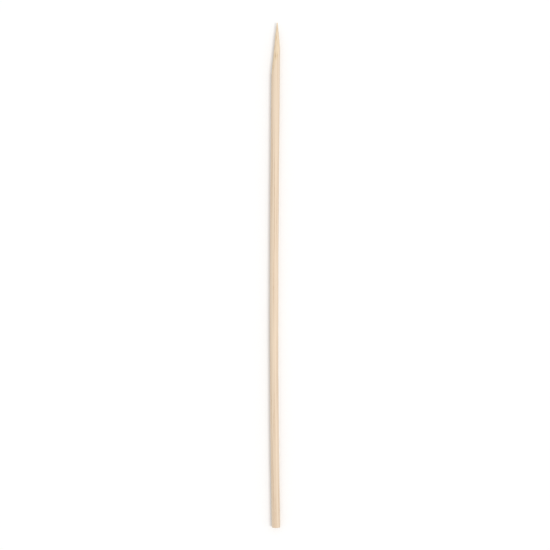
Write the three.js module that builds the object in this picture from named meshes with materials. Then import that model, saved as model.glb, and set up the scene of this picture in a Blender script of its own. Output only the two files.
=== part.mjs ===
// A bamboo skewer: one round stick planed from split bamboo, sawn square at the butt
// and ground to a point at the other end.
// Millimetres, +Z up. The stick lies on its side with its point towards +Y. The origin is
// on the surface that it lies on, under the middle of its bounding box.

import * as THREE from 'three';

// The blank: a round stick cut to length, its sawn edge eased in the polishing drum
const LENGTH = 180;
const DIAMETER = 3;
const BUTT_EDGE_RADIUS = 0.15;

// The bow that the stick keeps from the cane, sideways in the plane it lies on,
// and how far from the butt it is deepest
const BOW = 0.65;
const BOW_FROM_BUTT = 75;

// The point: a cone that is as wide as the stick this far behind the tip.
// Its axis runs beside the stick's own, so one flank is longer than the other.
// The softness is how much the drum rounds off where cone and stick meet.
const POINT_LENGTH = 14;
const POINT_OFFSET = 0.45;
const TIP_RADIUS = 0.2;
const SHOULDER_SOFTNESS = 0.08;

// Facets
const SIDES = 48;
const SHAFT_STEP = 5;
const POINT_STEP = 0.8;
const EDGE_STEPS = 3;
const NOSE_STEPS = 5;

// Finish: pale, dry bamboo, smoothed and left uncoated
const STRAW = 0xe9d4bc;
const ROUGHNESS = 0.6;

const RADIUS = DIAMETER / 2;
const CONE_ANGLE = coneAngle();
const NOSE_RADIUS = TIP_RADIUS * Math.cos(CONE_ANGLE);
const NOSE_DEPTH = TIP_RADIUS * (1 - Math.sin(CONE_ANGLE));
const POINT_START = LENGTH - behindTipAt(RADIUS + POINT_OFFSET + SHOULDER_SOFTNESS);

// Half the angle of the point, from the line that touches the round tip
// and passes through the stick's full radius.
function coneAngle() {
  const back = POINT_LENGTH - TIP_RADIUS;
  const slope = Math.atan2(RADIUS, back);
  return slope - Math.asin(TIP_RADIUS / Math.hypot(back, RADIUS));
}

// How far behind the tip the cone has a given radius.
function behindTipAt(radius) {
  return NOSE_DEPTH + (radius - NOSE_RADIUS) / Math.tan(CONE_ANGLE);
}

// The radius that grinding leaves at a distance behind the tip: a round nose, then the cone.
function groundRadius(behindTip) {
  if (behindTip < NOSE_DEPTH) {
    return Math.sqrt(Math.max(0, behindTip * (2 * TIP_RADIUS - behindTip)));
  }
  return NOSE_RADIUS + (behindTip - NOSE_DEPTH) * Math.tan(CONE_ANGLE);
}

// Places from one length to another in equal steps no longer than the given one,
// without the first place.
function stations(from, to, longestStep) {
  const count = Math.max(1, Math.ceil((to - from) / longestStep));
  return Array.from({ length: count }, (_, i) => from + ((to - from) * (i + 1)) / count);
}

// Half the outline of the blank, from the middle of the butt to the middle of the tip end.
// Its rings stand where the bow, the shoulder and the nose need them.
function blankOutline() {
  const outline = [new THREE.Vector2(0, 0)];
  for (let i = 0; i <= EDGE_STEPS; i += 1) {
    const turn = (i / EDGE_STEPS) * (Math.PI / 2);
    const inset = BUTT_EDGE_RADIUS * (1 - Math.sin(turn));
    const rise = BUTT_EDGE_RADIUS * (1 - Math.cos(turn));
    outline.push(new THREE.Vector2(RADIUS - inset, rise));
  }
  const shaft = stations(BUTT_EDGE_RADIUS, POINT_START, SHAFT_STEP);
  const point = stations(POINT_START, LENGTH - NOSE_DEPTH, POINT_STEP);
  for (const y of [...shaft, ...point]) {
    outline.push(new THREE.Vector2(RADIUS, y));
  }
  for (let i = NOSE_STEPS - 1; i > 0; i -= 1) {
    const turn = (i / NOSE_STEPS) * (Math.PI / 2 - CONE_ANGLE);
    outline.push(new THREE.Vector2(RADIUS, LENGTH - TIP_RADIUS * (1 - Math.cos(turn))));
  }
  outline.push(new THREE.Vector2(0, LENGTH));
  return outline;
}

// The smaller of two lengths, with the change from one to the other rounded over.
function softMinimum(a, b, softness) {
  const near = Math.max(0, softness - Math.abs(a - b)) / softness;
  return Math.min(a, b) - (near * near * softness) / 4;
}

// How far it is from a place inside the cone to its surface, in one section.
// The cone's axis lies ahead of the place along X, and the way points at an angle from X.
function reachToCone(axisAhead, cone, angle) {
  const ahead = axisAhead * Math.cos(angle);
  const aside = axisAhead * Math.sin(angle);
  return ahead + Math.sqrt(cone * cone - aside * aside);
}

// Grinds the blank: each section keeps what its own circle and the cone's have in common,
// drawn in towards the middle of that overlap.
function grind(vertex) {
  const cone = groundRadius(LENGTH - vertex.y);
  const left = Math.max(-RADIUS, POINT_OFFSET - cone);
  const right = Math.min(RADIUS, POINT_OFFSET + cone);
  const middle = (left + right) / 2;
  const angle = Math.atan2(vertex.z, vertex.x - middle);
  const toBlank = Math.hypot(vertex.x - middle, vertex.z);
  const toCone = reachToCone(POINT_OFFSET - middle, cone, angle);
  const reach = softMinimum(toBlank, toCone, SHOULDER_SOFTNESS);
  vertex.x = middle + reach * Math.cos(angle);
  vertex.z = reach * Math.sin(angle);
}

// Bows the stick towards -X, with its two ends left in line.
function bow(vertex) {
  const fromTip = Math.max(0, LENGTH - vertex.y);
  const bowFromTip = LENGTH - BOW_FROM_BUTT;
  const rise = vertex.y / BOW_FROM_BUTT;
  const fall = (fromTip / bowFromTip) ** (bowFromTip / BOW_FROM_BUTT);
  vertex.x -= BOW * rise * fall;
}

function changeVertices(geometry, change) {
  const position = geometry.getAttribute('position');
  const vertex = new THREE.Vector3();
  for (let i = 0; i < position.count; i += 1) {
    vertex.fromBufferAttribute(position, i);
    change(vertex);
    position.setXYZ(i, vertex.x, vertex.y, vertex.z);
  }
}

// Moves the stick so that the bottom centre of its bounding box is the origin.
function layDown(geometry) {
  geometry.computeBoundingBox();
  const { min, max } = geometry.boundingBox;
  geometry.translate(-(min.x + max.x) / 2, -(min.y + max.y) / 2, -min.z);
}

// The revolve starts half a facet round, so that the stick lies on a flat facet, not on an edge.
function skewerGeometry() {
  const geometry = new THREE.LatheGeometry(blankOutline(), SIDES, Math.PI / SIDES);
  changeVertices(geometry, grind);
  changeVertices(geometry, bow);
  layDown(geometry);
  geometry.computeVertexNormals();
  return geometry;
}

function bamboo() {
  return new THREE.MeshStandardMaterial({ color: STRAW, roughness: ROUGHNESS, metalness: 0 });
}

const skewer = new THREE.Mesh(skewerGeometry(), bamboo());
skewer.name = 'skewer';

const part = new THREE.Group();
part.name = 'bamboo_skewer';
part.add(skewer);

export default part;
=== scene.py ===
# %% [markdown]
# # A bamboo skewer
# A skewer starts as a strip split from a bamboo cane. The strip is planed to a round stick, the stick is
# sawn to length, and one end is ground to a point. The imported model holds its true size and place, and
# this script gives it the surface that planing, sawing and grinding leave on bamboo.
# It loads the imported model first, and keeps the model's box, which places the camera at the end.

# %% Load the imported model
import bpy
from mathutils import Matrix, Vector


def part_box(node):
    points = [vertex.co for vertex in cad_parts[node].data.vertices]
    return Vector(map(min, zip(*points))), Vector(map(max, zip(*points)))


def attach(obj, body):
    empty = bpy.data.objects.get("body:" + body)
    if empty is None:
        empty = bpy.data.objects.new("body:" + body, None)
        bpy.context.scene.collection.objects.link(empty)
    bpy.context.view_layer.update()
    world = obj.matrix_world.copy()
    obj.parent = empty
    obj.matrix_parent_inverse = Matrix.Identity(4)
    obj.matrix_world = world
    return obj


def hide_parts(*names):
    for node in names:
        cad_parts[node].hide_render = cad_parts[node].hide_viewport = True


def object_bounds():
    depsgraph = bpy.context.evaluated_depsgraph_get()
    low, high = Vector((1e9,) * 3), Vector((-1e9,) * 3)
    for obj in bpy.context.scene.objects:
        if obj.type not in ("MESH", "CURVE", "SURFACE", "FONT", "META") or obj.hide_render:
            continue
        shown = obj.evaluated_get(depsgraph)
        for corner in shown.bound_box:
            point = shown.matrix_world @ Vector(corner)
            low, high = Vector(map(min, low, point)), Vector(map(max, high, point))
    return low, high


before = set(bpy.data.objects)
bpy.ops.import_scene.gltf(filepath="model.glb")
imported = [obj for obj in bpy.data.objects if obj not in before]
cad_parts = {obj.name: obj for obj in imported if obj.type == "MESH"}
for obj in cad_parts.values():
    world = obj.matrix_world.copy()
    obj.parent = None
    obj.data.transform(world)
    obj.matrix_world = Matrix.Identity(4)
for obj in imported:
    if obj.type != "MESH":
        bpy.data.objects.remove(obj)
cad_low, cad_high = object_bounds()
print("packed box in mm:", [round(side * 1000, 2) for side in cad_high - cad_low])

# %% What the script uses
import math
import random

import bmesh
import bpy
import numpy as np
from mathutils import Vector

# %% [markdown]
# ## Sizes
# The detail on a skewer is hundredths of a millimetre deep, so the stick is drawn in millimetres and
# becomes metres when it is laid in place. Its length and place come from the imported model. The other
# sizes say how it was made: the point is ground by a cone whose axis runs beside the stick's own, and the
# bow is the slight curve that split bamboo keeps.

# %% The stick's sizes, in millimetres
MILLIMETRE = 0.001
stick_low, stick_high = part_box("skewer")
LENGTH = (stick_high.y - stick_low.y) / MILLIMETRE
RADIUS = 1.5
SAWN_EDGE_RADIUS = 0.15
POINT_LENGTH = 14.0
POINT_OFFSET = 0.45
TIP_RADIUS = 0.2
SHOULDER_SOFTNESS = 0.08
BOW = 0.65
BOW_FROM_BUTT = 75.0

BACK_OF_NOSE = POINT_LENGTH - TIP_RADIUS
CONE_ANGLE = math.atan2(RADIUS, BACK_OF_NOSE) - math.asin(TIP_RADIUS / math.hypot(BACK_OF_NOSE, RADIUS))
NOSE_RADIUS = TIP_RADIUS * math.cos(CONE_ANGLE)
NOSE_DEPTH = TIP_RADIUS * (1 - math.sin(CONE_ANGLE))
WIDEST_CUT = RADIUS + POINT_OFFSET + SHOULDER_SOFTNESS
POINT_DEPTH = NOSE_DEPTH + (WIDEST_CUT - NOSE_RADIUS) / math.tan(CONE_ANGLE)
print("length", round(LENGTH, 2), "point from", round(POINT_DEPTH, 2), "mm behind the tip")

# %% [markdown]
# ## The blank
# On the bench the stick is first a plain round rod, sawn off square. Blender's cylinder has only one long
# face on each side, which can't hold any fibres. So half the rod's outline is drawn here, with a corner
# for each change and the sawn corner rounded by a vertex bevel. Subdividing its long lines gives the
# rings that the detail needs, and the Spin operator carries it all round the axis.

# %% Draw half the outline
EDGE_RINGS = 5
NOSE_RINGS = 8


def draw_outline(rod):
    """The line from the middle of the butt, along the rod's side, to the middle of its tip."""
    places = [(0, 0), (RADIUS, 0), (RADIUS, LENGTH - POINT_DEPTH), (RADIUS, LENGTH - NOSE_DEPTH)]
    for ring in range(NOSE_RINGS - 1, 0, -1):
        turn = (math.pi / 2 - CONE_ANGLE) * ring / NOSE_RINGS
        places.append((RADIUS, LENGTH - TIP_RADIUS * (1 - math.cos(turn))))
    places.append((0, LENGTH))
    corners = [rod.verts.new((radius, place, 0)) for radius, place in places]
    for pair in zip(corners, corners[1:]):
        rod.edges.new(pair)
    bmesh.ops.bevel(rod, geom=[corners[1]], offset=SAWN_EDGE_RADIUS, segments=EDGE_RINGS, profile=0.5,
                    affect="VERTICES", material=-1)
    return corners


rod = bmesh.new()
corners = draw_outline(rod)
print("corners in the outline:", len(rod.verts))

# %% Subdivide its long lines
BUTT_CUTS = 21
SHAFT_CUTS = 279
POINT_CUTS = 119


def cut_outline(rod, butt_middle, point_start, nose_start):
    """Cuts the lines of the butt, the shaft and the point, each as finely as its marks need."""
    butt_line = butt_middle.link_edges[0]
    point_line = rod.edges.get((point_start, nose_start))
    shaft_line = next(edge for edge in point_start.link_edges if edge != point_line)
    for line, cuts in ((butt_line, BUTT_CUTS), (shaft_line, SHAFT_CUTS), (point_line, POINT_CUTS)):
        bmesh.ops.subdivide_edges(rod, edges=[line], cuts=cuts)


cut_outline(rod, corners[0], corners[2], corners[3])
print("corners after cutting:", len(rod.verts))

# %% Spin it into a rod
SIDES = 220
MERGE_WITHIN = 0.00001


def spin_rod(rod):
    """Spins the outline round the Y axis, closes the seam and the two poles, and turns faces outward."""
    bmesh.ops.spin(rod, geom=rod.verts[:] + rod.edges[:], cent=(0, 0, 0), axis=(0, 1, 0), angle=math.tau,
                   steps=SIDES, use_merge=True)
    bmesh.ops.remove_doubles(rod, verts=rod.verts, dist=MERGE_WITHIN)
    bmesh.ops.recalc_face_normals(rod, faces=rod.faces)
    mesh = bpy.data.meshes.new("bamboo_stick")
    rod.to_mesh(mesh)
    rod.free()
    return mesh


stick_mesh = spin_rod(rod)
print("rod:", len(stick_mesh.vertices), "corners,", len(stick_mesh.polygons), "faces")

# %% [markdown]
# ## Grinding the point
# A wheel grinds the point. A boolean cut with a cone would leave long ragged faces at the shoulder.
# Here each corner of the rod is drawn in instead, as far as the grinding cone reaches in its own
# section, and the softness rounds the shoulder as the polishing drum does. The result is the solid shape
# of the stick while it is still straight, so it also tells where each corner lies in the cane.


# %% Read the corners of the rod
def corners_of(mesh):
    """The mesh's corner places as an array, one row each."""
    places = np.empty(len(mesh.vertices) * 3, np.float32)
    mesh.vertices.foreach_get("co", places)
    return places.reshape(-1, 3).astype(float)


rod_places = corners_of(stick_mesh)
print("rod from", rod_places.min(axis=0).round(2), "to", rod_places.max(axis=0).round(2))


# %% Shape the grinding cone
def ground_radius(behind_tip):
    """The radius that grinding leaves at a distance behind the tip: a round nose, then the cone."""
    nose = np.sqrt(np.maximum(0, behind_tip * (2 * TIP_RADIUS - behind_tip)))
    cone = NOSE_RADIUS + (behind_tip - NOSE_DEPTH) * math.tan(CONE_ANGLE)
    return np.where(behind_tip < NOSE_DEPTH, nose, cone)


print("cone's radius 1, 5 and 10 mm behind the tip:", ground_radius(np.array([1.0, 5.0, 10.0])).round(2))


# %% Grind the rod
def grind_point(places):
    """Draws each section in to what the rod and the cone have in common. Also gives the depth cut off."""
    x, y, z = places.T
    cone = ground_radius(LENGTH - y)
    left = np.maximum(-RADIUS, POINT_OFFSET - cone)
    right = np.minimum(RADIUS, POINT_OFFSET + cone)
    middle = (left + right) / 2
    angle = np.arctan2(z, x - middle)
    to_rod = np.hypot(x - middle, z)
    ahead = (POINT_OFFSET - middle) * np.cos(angle)
    aside = (POINT_OFFSET - middle) * np.sin(angle)
    to_cone = ahead + np.sqrt(np.maximum(0, cone**2 - aside**2))
    near = np.maximum(0, SHOULDER_SOFTNESS - np.abs(to_rod - to_cone)) / SHOULDER_SOFTNESS
    reach = np.minimum(to_rod, to_cone) - near**2 * SHOULDER_SOFTNESS / 4
    ground = np.column_stack([middle + reach * np.cos(angle), y, reach * np.sin(angle)])
    return ground, to_rod - to_cone


straight, cut_depth = grind_point(rod_places)
print("ground corners:", int((cut_depth > 0).sum()), "of", len(straight))

# %% [markdown]
# ## The cane inside
# Bamboo is a bundle of long hard fibres in soft pale tissue. Each fibre bundle is a few tenths of a
# millimetre thick, longer towards the skin of the cane, with an open vessel along its middle. It runs
# the whole length with a slight wander, and the bundles crowd together near the skin. A painted stripe
# pattern wouldn't agree between shaft, point and end. So the bundles are laid through the solid stick
# here, and each corner asks how near it lies to one: that gives lines on the shaft, long ovals on the
# point and dots on the butt.

# %% Lay the fibre bundles through the cane
CANE_SEED = 41
CANE_REACH = 2.2
INNER_SPACING = 0.60
SKIN_SPACING = 0.31
ROW_SPACING = 0.87
SCATTER = 0.2
BUNDLE_SHARE = 0.27
UNEVENNESS = 0.25
WAVELENGTHS = (45, 110)


def lay_bundles():
    """Each bundle's depth in the cane, place beside it, radius, and its wander's phase and wavelength."""
    draw = random.Random(CANE_SEED)
    bundles = []
    depth = -CANE_REACH
    while depth < CANE_REACH:
        skin_share = (depth + CANE_REACH) / (2 * CANE_REACH)
        spacing = INNER_SPACING + (SKIN_SPACING - INNER_SPACING) * skin_share
        beside = -CANE_REACH + draw.random() * spacing
        while beside < CANE_REACH:
            deeper = draw.uniform(-SCATTER, SCATTER) * spacing
            aside = draw.uniform(-SCATTER, SCATTER) * spacing
            radius = BUNDLE_SHARE * spacing * draw.uniform(1 - UNEVENNESS, 1 + UNEVENNESS)
            phase, wavelength = draw.uniform(0, math.tau), draw.uniform(*WAVELENGTHS)
            bundles.append((depth + deeper, beside + aside, radius, phase, wavelength))
            beside += spacing
        depth += spacing * ROW_SPACING
    return bundles


bundles = lay_bundles()
print("fibre bundles laid:", len(bundles))

# %% Measure how near each corner lies to a bundle
SKIN_DIRECTION = math.radians(205)
GRAIN_LEAN = 0.35
WANDER = 0.09
BUNDLE_STRETCH = 1.3
FAR_FROM_BUNDLES = 9.0


def distance_to_bundle(places):
    """How far each place lies from the middle of its nearest bundle, in radii of that bundle."""
    x, y, z = places.T
    lean = GRAIN_LEAN * (y / LENGTH - 0.5)
    depth = x * math.cos(SKIN_DIRECTION) + z * math.sin(SKIN_DIRECTION) - lean
    beside = z * math.cos(SKIN_DIRECTION) - x * math.sin(SKIN_DIRECTION) + lean
    nearest = np.full(len(y), FAR_FROM_BUNDLES)
    for bundle_depth, bundle_beside, radius, phase, wavelength in bundles:
        turn = math.tau * y / wavelength + phase
        away_deep = (depth - bundle_depth - WANDER * np.sin(turn)) / BUNDLE_STRETCH
        away_beside = beside - bundle_beside - WANDER * np.cos(turn)
        nearest = np.minimum(nearest, np.hypot(away_deep, away_beside) / radius)
    return nearest


from_bundle = distance_to_bundle(straight)
print("farthest from a bundle, in its radii:", round(float(from_bundle.max()), 1))

# %% Tell fibre and vessel from soft tissue
FIBRE_EDGE = (1.1, 0.6)
VESSEL_EDGE = (0.5, 0.15)


def smooth_step(far, close, value):
    """0 at far, 1 at close, and a smooth change between them."""
    share = np.clip((far - value) / (far - close), 0, 1)
    return share * share * (3 - 2 * share)


fibre = smooth_step(*FIBRE_EDGE, from_bundle)
vessel = smooth_step(*VESSEL_EDGE, from_bundle)
print("share of hard fibre on the surface:", round(float(fibre.mean()), 2))

# %% [markdown]
# ## Relief
# Planing, grinding and sawing each leave their own relief, a hundredth of a millimetre or so deep. The
# knives tear open the vessels they cross, the wheel wears the soft tissue more than the fibres and leaves
# fine rings, and the saw leaves the fibre ends proud and its strokes across them. Such fine relief is
# often left to bump, but real relief also shows in the outline and in the mesh itself. So the height
# of each mark is worked out for every corner, in millimetres, and the corner then moves by it.

# %% Ripple the finest fibres
HAIRLINES = 14
HAIRLINE_DEPTH = 0.005
HAIRLINE_WIDTHS = (0.16, 0.45)
HAIRLINE_DRIFT = 0.25
HAIRLINE_WAVELENGTHS = (30, 80)


def ripple_hairlines(places):
    """Many shallow lengthwise ripples, in all directions through the section."""
    draw = random.Random(CANE_SEED + 1)
    x, y, z = places.T
    height = np.zeros(len(y))
    for _ in range(HAIRLINES):
        direction = draw.uniform(0, math.pi)
        width = draw.uniform(*HAIRLINE_WIDTHS)
        drift = draw.uniform(-HAIRLINE_DRIFT, HAIRLINE_DRIFT)
        drift = drift * np.sin(math.tau * y / draw.uniform(*HAIRLINE_WAVELENGTHS) + draw.uniform(0, 6))
        across = x * math.cos(direction) + z * math.sin(direction) + drift
        height += np.sin(math.tau * across / width + draw.uniform(0, math.tau))
    return HAIRLINE_DEPTH * height / math.sqrt(HAIRLINES)


def print_range(name, height):
    """Prints how deep and how high a relief goes."""
    print(name, "in mm from", round(float(height.min()), 3), "to", round(float(height.max()), 3))


hairlines = ripple_hairlines(straight)
print_range("hairlines", hairlines)

# %% Plane the shaft
PLANED_VESSEL = -0.028
PLANED_FIBRE = 0.007
LONG_WAVE = 37.0
LONG_WAVE_PHASE = 1.1
SHORT_WAVE = 13.7
SHORT_WAVE_PHASE = 4.0
SHORT_WAVE_SHARE = 0.6
WAVE_HEIGHT = 0.010
OVAL_HEIGHT = 0.012
OVAL_DIRECTION = 0.7


def plane_shaft(places):
    """Torn vessels, proud fibres, and the slight waviness and oval that the knives leave."""
    x, y, z = places.T
    long_wave = np.sin(math.tau * y / LONG_WAVE + LONG_WAVE_PHASE)
    short_wave = np.sin(math.tau * y / SHORT_WAVE + SHORT_WAVE_PHASE)
    waves = long_wave + SHORT_WAVE_SHARE * short_wave
    oval = np.cos(2 * (np.arctan2(z, x) - OVAL_DIRECTION))
    return WAVE_HEIGHT * waves + OVAL_HEIGHT * oval + PLANED_VESSEL * vessel + PLANED_FIBRE * fibre


planed = plane_shaft(straight) + hairlines
print_range("planed relief", planed)

# %% Wear the point
GROUND_VESSEL = -0.016
GROUND_FIBRE = 0.010
WHEEL_RING_HEIGHT = 0.006
WHEEL_RING_SPACING = 1.15
RING_SLANT = 0.8
SLANT_CHANGE = 3.1
SPACING_CHANGE = 1.7
HAIRLINES_LEFT = 0.6


def wear_point(places):
    """Fibres left proud by the wheel, and its wobbling rings round the point."""
    x, y, z = places.T
    wobble = RING_SLANT * np.sin(np.arctan2(z, x) + y / SLANT_CHANGE) + np.sin(y / SPACING_CHANGE)
    rings = np.sin(math.tau * y / WHEEL_RING_SPACING + wobble)
    return WHEEL_RING_HEIGHT * rings + GROUND_VESSEL * vessel + GROUND_FIBRE * fibre


worn = wear_point(straight) + HAIRLINES_LEFT * hairlines
print_range("ground relief", worn)

# %% Saw the butt
SAWN_VESSEL = -0.060
SAWN_FIBRE = 0.014
SAW_STROKE_HEIGHT = 0.006
SAW_STROKE_SPACING = 0.33
SAW_SWERVE = 0.7
SAW_SWERVES_IN_A_MM = 5
SAW_DIRECTION = math.radians(28)


def saw_butt(places):
    """Fibre ends left proud, open vessels, and the saw's strokes across them."""
    across = places[:, 0] * math.cos(SAW_DIRECTION) + places[:, 2] * math.sin(SAW_DIRECTION)
    swerve = SAW_SWERVE * np.sin(across * SAW_SWERVES_IN_A_MM)
    strokes = np.sin(math.tau * across / SAW_STROKE_SPACING + swerve)
    return SAW_STROKE_HEIGHT * strokes + SAWN_VESSEL * vessel + SAWN_FIBRE * fibre


sawn = saw_butt(straight)
print_range("sawn relief", sawn)

# %% Say what was done to each corner
sawn_share = smooth_step(SAWN_EDGE_RADIUS, 0, straight[:, 1])
ground_share = smooth_step(-SHOULDER_SOFTNESS, SHOULDER_SOFTNESS, cut_depth)
nose_share = smooth_step(2 * TIP_RADIUS, 0, LENGTH - straight[:, 1])
print("sawn corners:", int((sawn_share > 0.5).sum()), "ground corners:", int((ground_share > 0.5).sum()))


# %% Move each corner along its normal
def move_corners(mesh, places):
    """Puts the mesh's corners at these places."""
    mesh.vertices.foreach_set("co", places.astype(np.float32).ravel())
    mesh.update()


def normals_of(mesh):
    """The mesh's corner normals as an array."""
    normals = np.empty(len(mesh.vertices) * 3, np.float32)
    mesh.vertex_normals.foreach_get("vector", normals)
    return normals.reshape(-1, 3).astype(float)


move_corners(stick_mesh, straight)
height = planed * (1 - sawn_share - ground_share) + sawn * sawn_share + worn * ground_share * (1 - nose_share)
carved = straight + normals_of(stick_mesh) * height[:, None]
print_range("whole relief", height)

# %% [markdown]
# ## The bow and the place
# Split bamboo never stays quite straight. This stick bows to the left of its point, and it lies on the
# table with that bow flat, because it would roll until it does. The bow could be a Simple Deform
# modifier, but its curve is a plain arc, and this bow is deepest below the middle. Then the stick is
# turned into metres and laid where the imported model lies.


# %% Bow the stick and lay it in place
def bow_stick(places):
    """Moves each section sideways, with the two ends left in line."""
    bowed = places.copy()
    from_butt = np.maximum(0, bowed[:, 1])
    from_tip = np.maximum(0, LENGTH - bowed[:, 1])
    tip_side = LENGTH - BOW_FROM_BUTT
    fall = (from_tip / tip_side) ** (tip_side / BOW_FROM_BUTT)
    bowed[:, 0] -= BOW * from_butt / BOW_FROM_BUTT * fall
    return bowed


def lay_in_place(places):
    """From millimetres on the bench to metres in the frame, resting on its lowest corner."""
    laid = places * MILLIMETRE
    low, high = laid.min(axis=0), laid.max(axis=0)
    shift = np.array((stick_low + stick_high) / 2) - (low + high) / 2
    shift[2] = stick_low.z - low[2]
    return laid + shift


move_corners(stick_mesh, lay_in_place(bow_stick(carved)))
bamboo_stick = bpy.data.objects.new("bamboo_stick", stick_mesh)
bpy.context.scene.collection.objects.link(bamboo_stick)
bamboo_stick.data.shade_smooth()
print("laid at", [round(value, 5) for value in corners_of(stick_mesh).min(axis=0)])

# %% [markdown]
# ## What the finish needs to know
# The finish has to follow the fibres, also round the bow, so it can't use plain object coordinates. Each
# corner therefore carries its place in the straight cane, in millimetres. It also carries its distance
# from the nearest bundle, and how much it was sawn or ground. A distance is better than a painted stripe:
# the shader can draw a sharp line from it, however coarse the mesh is. Last comes a UV map: the length
# of the stick is one strip, with more room for the point, and the butt is a small disc below it.

# %% Store the place in the cane and the shares
FARTHEST_STORED = 3


def store_numbers(mesh, name, kind, numbers):
    """Adds a named attribute with one value for each corner."""
    field = "vector" if kind == "FLOAT_VECTOR" else "value"
    attribute = mesh.attributes.new(name, kind, "POINT")
    attribute.data.foreach_set(field, numbers.astype(np.float32).ravel())


store_numbers(stick_mesh, "cane_place", "FLOAT_VECTOR", straight)
store_numbers(stick_mesh, "from_bundle", "FLOAT", np.minimum(from_bundle, FARTHEST_STORED))
store_numbers(stick_mesh, "sawn_share", "FLOAT", sawn_share)
store_numbers(stick_mesh, "ground_share", "FLOAT", ground_share)
print("attributes:", [attribute.name for attribute in stick_mesh.attributes if not attribute.is_internal])

# %% Read the faces of the mesh
def numbers_of(items, name):
    """One whole number of every item in a Blender collection, as an array."""
    found = np.empty(len(items), np.int32)
    items.foreach_get(name, found)
    return found


loop_corner = numbers_of(stick_mesh.loops, "vertex_index")
face_start = numbers_of(stick_mesh.polygons, "loop_start")
face_of_loop = np.repeat(np.arange(len(face_start)), numbers_of(stick_mesh.polygons, "loop_total"))
print("face corners to lay out:", len(loop_corner))

# %% Unroll the sides into a strip
MAP_MARGIN = 0.004
STRIP_START = 0.12
SHAFT_START = 0.13
POINT_START = 0.70
NOSE_START = 0.97
SEAM_SLACK = 0.00001


def unroll_turns():
    """How far round from below each face corner lies, from 0 to 1. The seam never splits a face."""
    x, z = rod_places[loop_corner, 0], rod_places[loop_corner, 2]
    turns = (np.arctan2(x, z) / math.tau + 0.5 + SEAM_SLACK) % 1
    off_axis = np.hypot(x, z) > MERGE_WITHIN
    widest = np.maximum.reduceat(turns * off_axis, face_start)[face_of_loop]
    turns = np.where(widest - turns > 0.5, turns + 1, turns)
    total = np.add.reduceat(turns * off_axis, face_start)
    count = np.add.reduceat(off_axis.astype(int), face_start)
    return np.where(off_axis, turns, (total / count)[face_of_loop])


def unroll_lengths():
    """How high on the map each face corner lies. The point and the nose get more room than their length."""
    stretches = [0, SAWN_EDGE_RADIUS, LENGTH - POINT_DEPTH, LENGTH - NOSE_DEPTH, LENGTH]
    heights = [STRIP_START, SHAFT_START, POINT_START, NOSE_START, 1 - MAP_MARGIN]
    return np.interp(rod_places[loop_corner, 1], stretches, heights)


strip = np.column_stack([MAP_MARGIN + unroll_turns() * (1 - 2 * MAP_MARGIN), unroll_lengths()])
print("strip from", strip.min(axis=0).round(3), "to", strip.max(axis=0).round(3))

# %% Lay the butt beside it and store the map
disc_scale = (STRIP_START - 2 * MAP_MARGIN) / (2 * RADIUS)
disc = MAP_MARGIN + (rod_places[loop_corner][:, [0, 2]] + RADIUS) * disc_scale
on_butt = (np.maximum.reduceat(rod_places[loop_corner, 1], face_start) < MERGE_WITHIN)[face_of_loop]
uv_map = np.where(on_butt[:, None], disc, strip)
stick_mesh.uv_layers.new(name="OFBake").uv.foreach_set("vector", uv_map.astype(np.float32).ravel())
print("face corners on the butt:", int(on_butt.sum()))

# %% [markdown]
# ## The look of bamboo
# Dry bamboo is pale straw, with the hard fibres a shade darker and the open vessels as fine brown lines.
# Its tone drifts slowly along the stick. The grain could be one big tangle of nodes in the material, but
# a group keeps it apart, with its colours for inputs. The next cells fill that group step by step.

# %% Start the cane grain group
COLOUR = "NodeSocketColor"
NUMBER = "NodeSocketFloat"
VECTOR = "NodeSocketVector"


def new_group(name, inputs, outputs):
    """An empty node group with named sockets, and its input and output nodes."""
    tree = bpy.data.node_groups.new(name, "ShaderNodeTree")
    for socket, kind in inputs:
        tree.interface.new_socket(socket, in_out="INPUT", socket_type=kind)
    for socket, kind in outputs:
        tree.interface.new_socket(socket, in_out="OUTPUT", socket_type=kind)
    return tree, tree.nodes.new("NodeGroupInput"), tree.nodes.new("NodeGroupOutput")


cane_grain, tones_in, grain_out = new_group(
    "Cane grain",
    [("Soft tissue", COLOUR), ("Hard fibre", COLOUR), ("Open vessel", COLOUR)],
    [("Colour", COLOUR), ("Roughness", NUMBER), ("Height", NUMBER)],
)
print("group", cane_grain.name, "gives", [socket.name for socket in grain_out.inputs if socket.name])

# %% [markdown]
# ## Streaks
# Noise has the same size in all directions, and bamboo doesn't. So the place that each corner carries is
# stretched a great deal before the noise reads it, which draws the noise out along the fibres. There are
# fine streaks, a broad drift of tone, and flecks that break the vessels up.

# %% Draw noise out into streaks
FINE_STREAKS = (9.0, 0.16, 9.0)
BROAD_DRIFT = (1.3, 0.035, 1.3)
VESSEL_FLECKS = (5.0, 0.7, 5.0)
CRISP = 0.72


def add_node(tree, kind, **settings):
    """A new node with some of its settings changed."""
    node = tree.nodes.new(kind)
    for name, value in settings.items():
        setattr(node, name, value)
    return node


def feed(tree, source, *sockets):
    """Links a source socket, or sets a plain value, on each of these inputs."""
    for socket in sockets:
        if isinstance(source, bpy.types.NodeSocket):
            tree.links.new(source, socket)
        else:
            socket.default_value = source


def carried(tree, name, output="Fac"):
    """An attribute that the mesh carries."""
    return add_node(tree, "ShaderNodeAttribute", attribute_name=name).outputs[output]


def stretched_noise(tree, place, scale, detail, crispness=0.5):
    """Noise over the place in the cane, scaled on its own along each axis. Crisp noise has strong detail."""
    stretch = add_node(tree, "ShaderNodeVectorMath", operation="MULTIPLY")
    feed(tree, place, stretch.inputs[0])
    feed(tree, scale, stretch.inputs[1])
    noise = add_node(tree, "ShaderNodeTexNoise")
    feed(tree, stretch.outputs[0], noise.inputs["Vector"])
    feed(tree, 1.0, noise.inputs["Scale"])
    feed(tree, detail, noise.inputs["Detail"])
    feed(tree, crispness, noise.inputs["Roughness"])
    return noise.outputs["Fac"]


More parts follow.
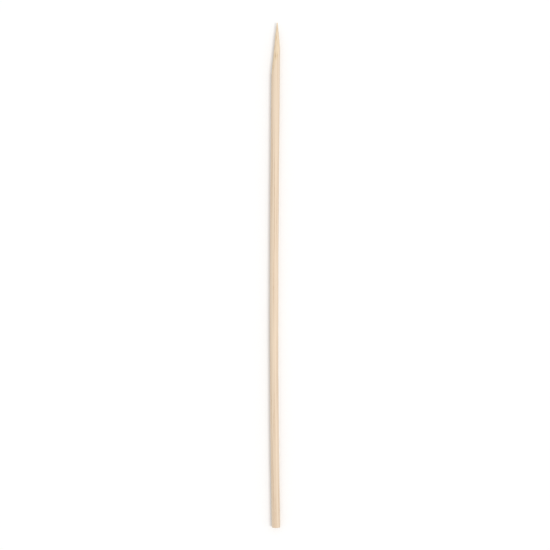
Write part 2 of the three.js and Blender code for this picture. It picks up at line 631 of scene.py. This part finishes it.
place = carried(cane_grain, "cane_place", "Vector")
fine = stretched_noise(cane_grain, place, FINE_STREAKS, 5.0, CRISP)
broad = stretched_noise(cane_grain, place, BROAD_DRIFT, 2.0)
flecks = stretched_noise(cane_grain, place, VESSEL_FLECKS, 2.0)
print("nodes with the streaks:", len(cane_grain.nodes))

# %% Find the fibres and the vessels
FIBRE_FADE = (1.55, 1.2)
VESSEL_FADE = (0.95, 0.7)


def calculate(tree, operation, first, second=0.0, third=0.0):
    """A Math node with its inputs fed. Gives its output."""
    node = add_node(tree, "ShaderNodeMath", operation=operation)
    for socket, value in zip(node.inputs, (first, second, third)):
        feed(tree, value, socket)
    return node.outputs[0]


def fade(tree, value, far, close):
    """0 where the value is at far, 1 where it is at close, and a smooth change between them."""
    node = add_node(tree, "ShaderNodeMapRange", interpolation_type="SMOOTHSTEP")
    feed(tree, value, node.inputs["Value"])
    for name, limit in (("From Min", close), ("From Max", far), ("To Min", 1.0), ("To Max", 0.0)):
        node.inputs[name].default_value = limit
    return node.outputs["Result"]


ragged = calculate(cane_grain, "MULTIPLY_ADD", fine, 1.0, carried(cane_grain, "from_bundle"))
hard = fade(cane_grain, ragged, *FIBRE_FADE)
opened = fade(cane_grain, ragged, *VESSEL_FADE)
print("nodes with the fibres:", len(cane_grain.nodes))

# %% Colour the fibres and the vessels
STREAK_STRENGTH = 1.2
FIBRE_STRENGTH = 0.75
FLECK_STRENGTH = 1.8
FLECK_START = -0.3


def mix_colours(tree, share, first, second, blend="MIX"):
    """A Mix node set to colours, whose sockets 6 and 7 are its colour inputs. Gives its output."""
    node = add_node(tree, "ShaderNodeMix", data_type="RGBA", blend_type=blend)
    feed(tree, share, node.inputs[0])
    feed(tree, first, node.inputs[6])
    feed(tree, second, node.inputs[7])
    return node.outputs[2]


streaks = calculate(cane_grain, "MULTIPLY_ADD", fine, STREAK_STRENGTH, -STREAK_STRENGTH / 2)
hardness = calculate(cane_grain, "MULTIPLY_ADD", hard, FIBRE_STRENGTH, streaks)
body = mix_colours(cane_grain, hardness, tones_in.outputs["Soft tissue"], tones_in.outputs["Hard fibre"])
unbroken = calculate(cane_grain, "MULTIPLY_ADD", flecks, FLECK_STRENGTH, FLECK_START)
torn = calculate(cane_grain, "MULTIPLY", opened, unbroken)
lined = mix_colours(cane_grain, torn, body, tones_in.outputs["Open vessel"])
print("nodes with the colours:", len(cane_grain.nodes))

# %% Let the tone drift
DRIFT = 0.12
drift = calculate(cane_grain, "MULTIPLY_ADD", broad, DRIFT, 1 - DRIFT / 2)
grey = add_node(cane_grain, "ShaderNodeCombineColor")
feed(cane_grain, drift, *grey.inputs)
drifted = mix_colours(cane_grain, 1.0, lined, grey.outputs[0], "MULTIPLY")
feed(cane_grain, drifted, grain_out.inputs["Colour"])
print("nodes with the drift:", len(cane_grain.nodes))

# %% Give the grain its sheen and its height
SOFT_ROUGHNESS = 0.62
SMOOTHER_FIBRE = -0.12
ROUGH_STREAKS = 0.10
VESSEL_HEIGHT = -0.8
sheen = calculate(cane_grain, "MULTIPLY_ADD", hard, SMOOTHER_FIBRE, SOFT_ROUGHNESS)
sheen = calculate(cane_grain, "MULTIPLY_ADD", fine, ROUGH_STREAKS, sheen)
feed(cane_grain, sheen, grain_out.inputs["Roughness"])
grain_height = calculate(cane_grain, "MULTIPLY_ADD", opened, VESSEL_HEIGHT, fine)
feed(cane_grain, grain_height, grain_out.inputs["Height"])
print("group", cane_grain.name, "has", len(cane_grain.nodes), "nodes")

# %% [markdown]
# ## Tool marks
# The wheel and the saw both leave fine parallel scratches, only in other directions and at other
# spacings. One group draws them for both: it measures the place in the cane along a direction, counts it
# in scratches, and breaks the scratches up with noise so that no two are alike. The length of the
# direction is the number of scratches in a millimetre.

# %% Build the tool marks group
SWERVE = (1.8, 1.8, 1.8)
PATCHES = (4.0, 4.0, 4.0)
tool_marks, marks_in, marks_out = new_group(
    "Tool marks", [("Across", VECTOR), ("Break up", NUMBER)], [("Height", NUMBER)]
)
place = carried(tool_marks, "cane_place", "Vector")
along = add_node(tool_marks, "ShaderNodeVectorMath", operation="DOT_PRODUCT")
feed(tool_marks, place, along.inputs[0])
feed(tool_marks, marks_in.outputs["Across"], along.inputs[1])
uneven = stretched_noise(tool_marks, place, SWERVE, 3.0)
count = calculate(tool_marks, "MULTIPLY_ADD", uneven, marks_in.outputs["Break up"], along.outputs["Value"])
scratch = calculate(tool_marks, "SINE", calculate(tool_marks, "MULTIPLY", count, math.tau))
strength = stretched_noise(tool_marks, place, PATCHES, 2.0)
feed(tool_marks, calculate(tool_marks, "MULTIPLY", scratch, strength), marks_out.inputs["Height"])
print("group", tool_marks.name, "has", len(tool_marks.nodes), "nodes")

# %% [markdown]
# ## The finish
# The planed shaft is satin. The ground point is duller and a little warmer, with rings round it. The sawn
# butt looks straight into the fibres, so its soft tissue is darker and its bundles stand out as dots.
# Three materials would meet in hard lines. One material that blends its tones by the two shares lets the
# finishes fade into each other, as they do on the real stick.


# %% Choose the planed, ground and sawn tones
def linear(red, green, blue):
    """A screen colour from 0 to 255 as the linear colour that shaders use."""
    shares = [value / 255 for value in (red, green, blue)]
    return tuple(s / 12.92 if s <= 0.04045 else ((s + 0.055) / 1.055) ** 2.4 for s in shares) + (1.0,)


SOFT_TISSUE = [linear(236, 215, 190), linear(240, 218, 188), linear(233, 209, 178)]
HARD_FIBRE = [linear(225, 200, 172), linear(226, 200, 162), linear(196, 160, 118)]
OPEN_VESSEL = [linear(195, 161, 124), linear(198, 163, 122), linear(124, 90, 60)]
print("planed tissue in linear light:", [round(value, 3) for value in SOFT_TISSUE[0]])


# %% Colour the stick
def by_share(tree, tones):
    """The planed, ground or sawn tone, blended by the shares that the mesh carries."""
    worked = mix_colours(tree, carried(tree, "ground_share"), tones[0], tones[1])
    return mix_colours(tree, carried(tree, "sawn_share"), worked, tones[2])


finish = bpy.data.materials.new("dry_bamboo")
finish.use_nodes = True
tree = finish.node_tree
shader = tree.nodes["Principled BSDF"]
grain = add_node(tree, "ShaderNodeGroup", node_tree=cane_grain)
for socket, tones in zip(grain.inputs, (SOFT_TISSUE, HARD_FIBRE, OPEN_VESSEL)):
    feed(tree, by_share(tree, tones), socket)
feed(tree, grain.outputs["Colour"], shader.inputs["Base Color"])
print("nodes with the tones:", len(tree.nodes))

# %% Make the point and the butt duller
SATIN = 0.35
DULLER = {"ground_share": 0.08, "sawn_share": 0.16}
rough = grain.outputs["Roughness"]
for share, more in DULLER.items():
    rough = calculate(tree, "MULTIPLY_ADD", carried(tree, share), more, rough)
feed(tree, rough, shader.inputs["Roughness"])
shader.inputs["Specular IOR Level"].default_value = SATIN
print("rougher by", DULLER)

# %% Scratch the point and the butt
MARK_DEPTH = 0.000006
WHEEL_SCRATCHES = (0.0, 5.5, 0.0)
WHEEL_BREAK_UP = 1.2
SAW_COUNT = 7
SAW_SCRATCHES = (SAW_COUNT * math.cos(SAW_DIRECTION), 0.0, SAW_COUNT * math.sin(SAW_DIRECTION))
SAW_BREAK_UP = 0.9


def add_marks(tree, across, break_up, share, height):
    """Adds one tool's scratches to a height, where that tool has worked."""
    marks = add_node(tree, "ShaderNodeGroup", node_tree=tool_marks)
    marks.inputs["Across"].default_value = across
    marks.inputs["Break up"].default_value = break_up
    return calculate(tree, "MULTIPLY_ADD", marks.outputs["Height"], carried(tree, share), height)


scratched = add_marks(tree, WHEEL_SCRATCHES, WHEEL_BREAK_UP, "ground_share", grain.outputs["Height"])
scratched = add_marks(tree, SAW_SCRATCHES, SAW_BREAK_UP, "sawn_share", scratched)
bump = add_node(tree, "ShaderNodeBump")
bump.inputs["Distance"].default_value = MARK_DEPTH
feed(tree, scratched, bump.inputs["Height"])
feed(tree, bump.outputs["Normal"], shader.inputs["Normal"])
stick_mesh.materials.append(finish)
print("finish", finish.name, "has", len(tree.nodes), "nodes")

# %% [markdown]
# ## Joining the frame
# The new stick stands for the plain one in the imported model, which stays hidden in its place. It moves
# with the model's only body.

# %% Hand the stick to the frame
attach(bamboo_stick, "root")
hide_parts("skewer")

# %% [markdown]
# ## The table and the light
# The stick is seen from straight above on a white ground, in soft light from the right that leaves a pale
# shadow on its left. A sun lamp with a wide angle lights the whole ground evenly, which an area lamp
# wouldn't. The sky fills the rest. Together they give a level surface very nearly its own colour. The
# ground is white to the camera and a little darker to the stick, as a real sheet of paper is.

# %% Lay the ground
GROUND_REACH = 3.0
PAPER_GREY = (0.80, 0.80, 0.80, 1.0)
WHITE = (1.0, 1.0, 1.0, 1.0)


def seen_directly(tree):
    """1 for rays that come from the camera, straight or by a reflection or through glass, else 0."""
    path = tree.nodes.new("ShaderNodeLightPath")
    seen = calculate(tree, "MAXIMUM", path.outputs["Is Camera Ray"], path.outputs["Is Glossy Ray"])
    return calculate(tree, "MAXIMUM", seen, path.outputs["Is Transmission Ray"])


def lay_ground():
    """A wide white sheet just under the stick, with the stick's shadow on it."""
    sheet = bmesh.new()
    bmesh.ops.create_grid(sheet, x_segments=1, y_segments=1, size=GROUND_REACH)
    mesh = bpy.data.meshes.new("ground_sheet")
    sheet.to_mesh(mesh)
    sheet.free()
    material = bpy.data.materials.new("white_paper")
    material.use_nodes = True
    tree = material.node_tree
    tree.nodes.remove(tree.nodes["Principled BSDF"])
    matt = tree.nodes.new("ShaderNodeBsdfDiffuse")
    feed(tree, mix_colours(tree, seen_directly(tree), PAPER_GREY, WHITE), matt.inputs["Color"])
    feed(tree, matt.outputs[0], tree.nodes["Material Output"].inputs["Surface"])
    mesh.materials.append(material)
    ground = bpy.data.objects.new("ground_sheet", mesh)
    bpy.context.scene.collection.objects.link(ground)
    return ground


print("ground", round(lay_ground().dimensions.x, 1), "m wide")

# %% Shine the sun
SUN_STRENGTH = 0.94
SUN_WIDTH = math.radians(24)
SUN_FROM = Vector((0.40, -0.12, 1.0))


def shine_sun():
    """A wide sun, high on the right."""
    lamp = bpy.data.lights.new("window_light", "SUN")
    lamp.energy = SUN_STRENGTH
    lamp.angle = SUN_WIDTH
    sun = bpy.data.objects.new("window_light", lamp)
    sun.rotation_mode = "QUATERNION"
    sun.rotation_quaternion = SUN_FROM.to_track_quat("Z", "Y")
    bpy.context.scene.collection.objects.link(sun)


shine_sun()
sun_level = SUN_STRENGTH * SUN_FROM.normalized().z / math.pi
print("sunlight on a level surface:", round(sun_level, 3))

# %% Fill in the sky
SKY_STRENGTH = 0.74


def fill_sky():
    """An even sky, which the camera sees as white."""
    world = bpy.data.worlds.new("white_room")
    world.use_nodes = True
    tree = world.node_tree
    seen = seen_directly(tree)
    background = tree.nodes["Background"]
    feed(tree, WHITE, background.inputs["Color"])
    feed(tree, calculate(tree, "MULTIPLY_ADD", seen, 1 - SKY_STRENGTH, SKY_STRENGTH),
         background.inputs["Strength"])
    bpy.context.scene.world = world


fill_sky()
print("light on a level surface:", round(SKY_STRENGTH + sun_level, 3))

# %% [markdown]
# ## The camera
# The photograph looks straight down with the point at the top. The camera keeps that angle. It comes
# close enough for the one stick to fill the height of the picture, through a long lens that shows it
# without distortion.

# %% Place the camera
LENS = 100.0
FILLED_HEIGHT = 0.92
SEEN_DISTANCES = 10


def place_camera():
    """Straight above the stick, with the stick's length filling most of the frame."""
    data = bpy.data.cameras.new("overhead_camera")
    data.lens = LENS
    camera = bpy.data.objects.new("overhead_camera", data)
    bpy.context.scene.collection.objects.link(camera)
    shown = (cad_high.y - cad_low.y) / FILLED_HEIGHT
    distance = shown * LENS / data.sensor_width
    middle = (cad_low + cad_high) / 2
    camera.location = (middle.x, middle.y, cad_high.z + distance)
    data.clip_end = SEEN_DISTANCES * distance
    bpy.context.scene.camera = camera
    return distance


print("camera distance in m:", round(place_camera(), 3))
bpy.context.scene.view_settings.view_transform = "Standard"
